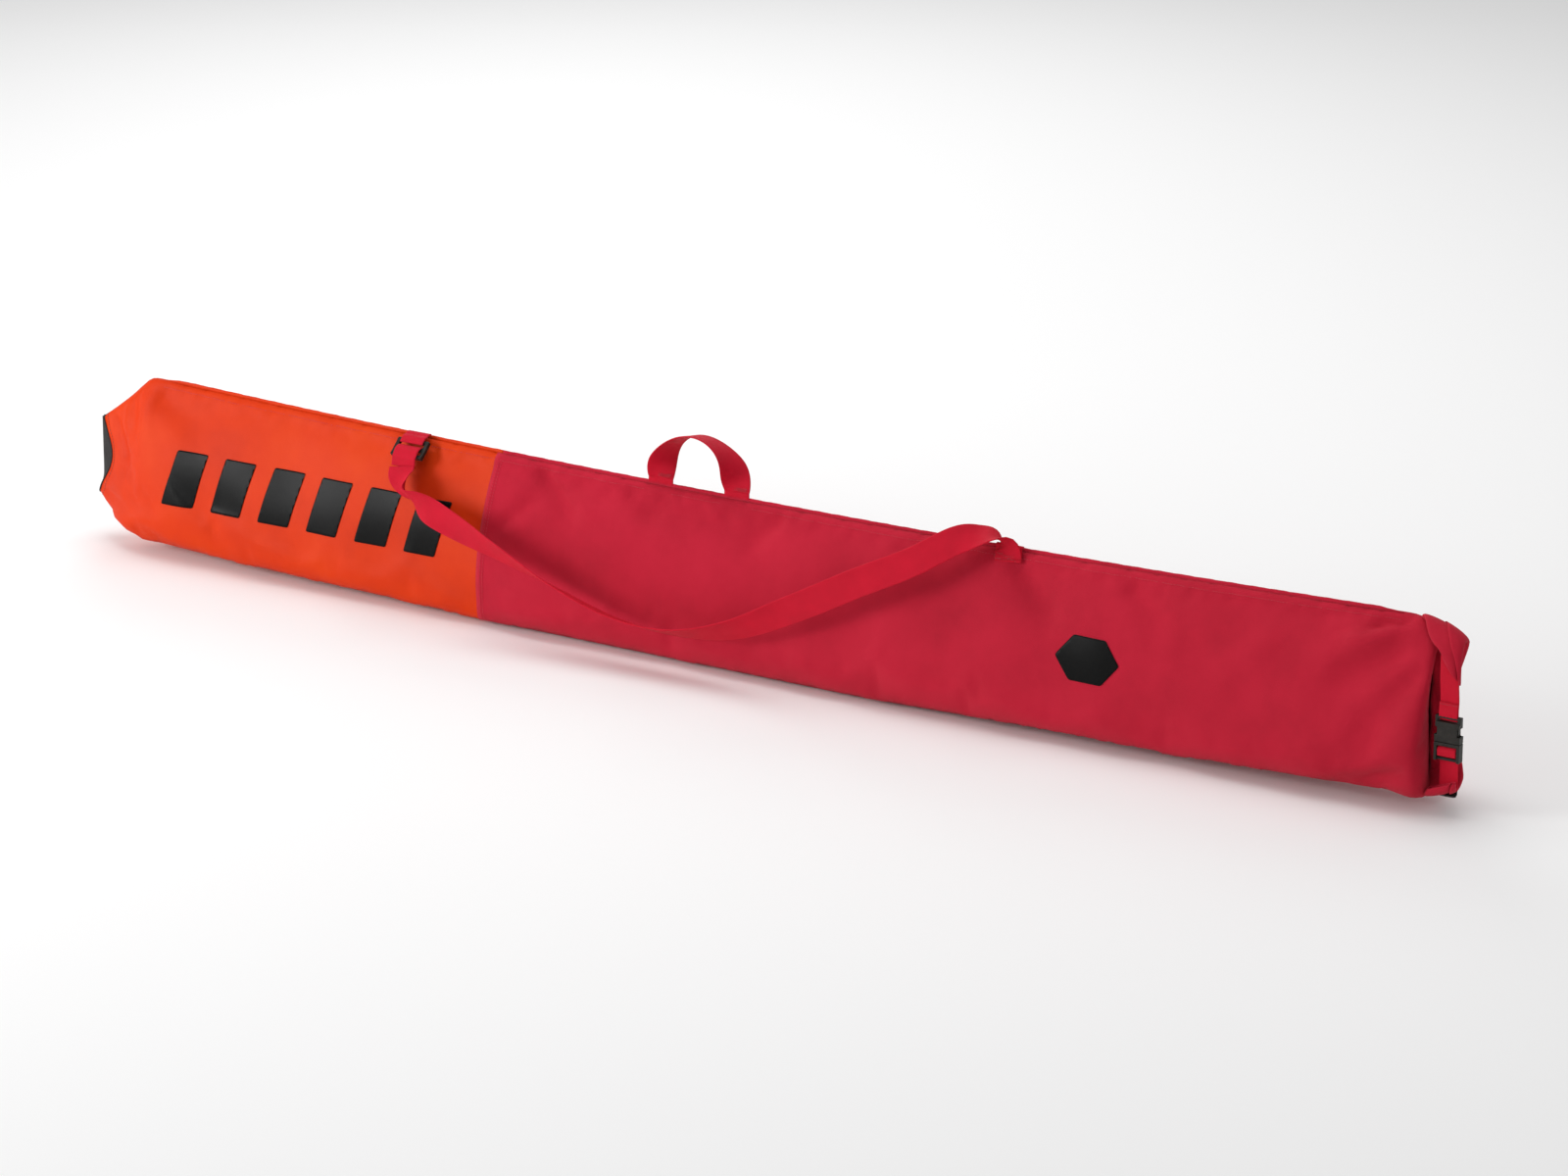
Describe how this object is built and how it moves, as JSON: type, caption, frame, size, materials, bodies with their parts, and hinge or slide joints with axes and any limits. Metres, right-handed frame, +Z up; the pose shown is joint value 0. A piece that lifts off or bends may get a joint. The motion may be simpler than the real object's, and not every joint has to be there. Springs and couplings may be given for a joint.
{
  "type": "ski bag",
  "caption": "Roll-top ski bag: orange coated tail, red woven upper, carry handle, shoulder strap, side-release buckle across the rolled mouth",
  "frame": {"origin": "middle of the flat bottom fold that the bag rests on", "axes": "+X along the bag towards the rolled mouth, +Y away from the printed face, +Z up"},
  "size_m": [2.092, 0.1756, 0.3001],
  "materials": {
    "coated_orange": "smooth coated polyester, satin",
    "woven_red": "fine plain-weave polyester, matt",
    "woven_black": "coarse woven polyester, matt",
    "seam_tape": "thin coated tape",
    "print_film": "screen-printed film, glossy, finely scratched",
    "webbing_red": "ribbed polyester webbing",
    "buckle_black": "moulded acetal, satin",
    "stiffener": "plain plastic strip"
  },
  "bodies": {
    "sleeve": {"sleeve_lower_orange": "coated_orange", "sleeve_upper_red": "woven_red", "tail_end_panel": "woven_black", "tail_end_binding": "woven_black", "inner_seam_tape": "seam_tape", "top_seam_binding": "woven_red", "print_bar_1": "print_film", "print_bar_2": "print_film", "print_bar_3": "print_film", "print_bar_4": "print_film", "print_bar_5": "print_film", "print_bar_6": "print_film", "print_badge": "print_film", "strap_anchor_right": "webbing_red", "mouth_neck": "woven_red"},
    "handle": {"carry_handle": "webbing_red"},
    "strap": {"shoulder_strap": "webbing_red", "strap_ladder_lock": "buckle_black", "strap_anchor_left": "webbing_red"},
    "closure": {"rolled_mouth": "woven_red", "mouth_stiffener": "stiffener", "closure_web_upper": "webbing_red", "closure_web_lower": "webbing_red", "buckle_female_shell": "buckle_black"},
    "buckle_male": {"buckle_male_base": "buckle_black", "closure_web_tail": "webbing_red"},
    "arm_left": {"buckle_arm_left": "buckle_black"},
    "arm_right": {"buckle_arm_right": "buckle_black"}
  },
  "joints": [
    {"name": "handle_swing", "type": "hinge", "parent": "sleeve", "child": "handle", "pos_m": [-0.07475, 0, 0.2301], "axis": [1, 0, 0], "range_deg": [-80, 80]},
    {"name": "strap_swing", "type": "hinge", "parent": "sleeve", "child": "strap", "pos_m": [-0.512, -0.004, 0.2305], "axis": [-1, 0, 0], "range_deg": [0, 120]},
    {"name": "closure_unroll", "type": "slide", "parent": "sleeve", "child": "closure", "axis": [1, 0, 0], "range_m": [0, 0.12], "deforming": ["mouth_neck"]},
    {"name": "buckle_release", "type": "slide", "parent": "closure", "child": "buckle_male", "axis": [0, 0, -1], "range_m": [0, 0.025]},
    {"name": "buckle_arm_left_squeeze", "type": "hinge", "parent": "buckle_male", "child": "arm_left", "pos_m": [1.0074, -0.032, 0.0963], "axis": [0, 1, 0], "range_deg": [0, 6], "stiffness_Nm_per_rad": 0.05},
    {"name": "buckle_arm_right_squeeze", "type": "hinge", "parent": "buckle_male", "child": "arm_right", "pos_m": [1.0306, -0.032, 0.0963], "axis": [0, -1, 0], "range_deg": [0, 6], "stiffness_Nm_per_rad": 0.05}
  ],
  "couplings": [
    {"joint": "buckle_arm_right_squeeze", "follows": "buckle_arm_left_squeeze", "ratio": 1}
  ]
}
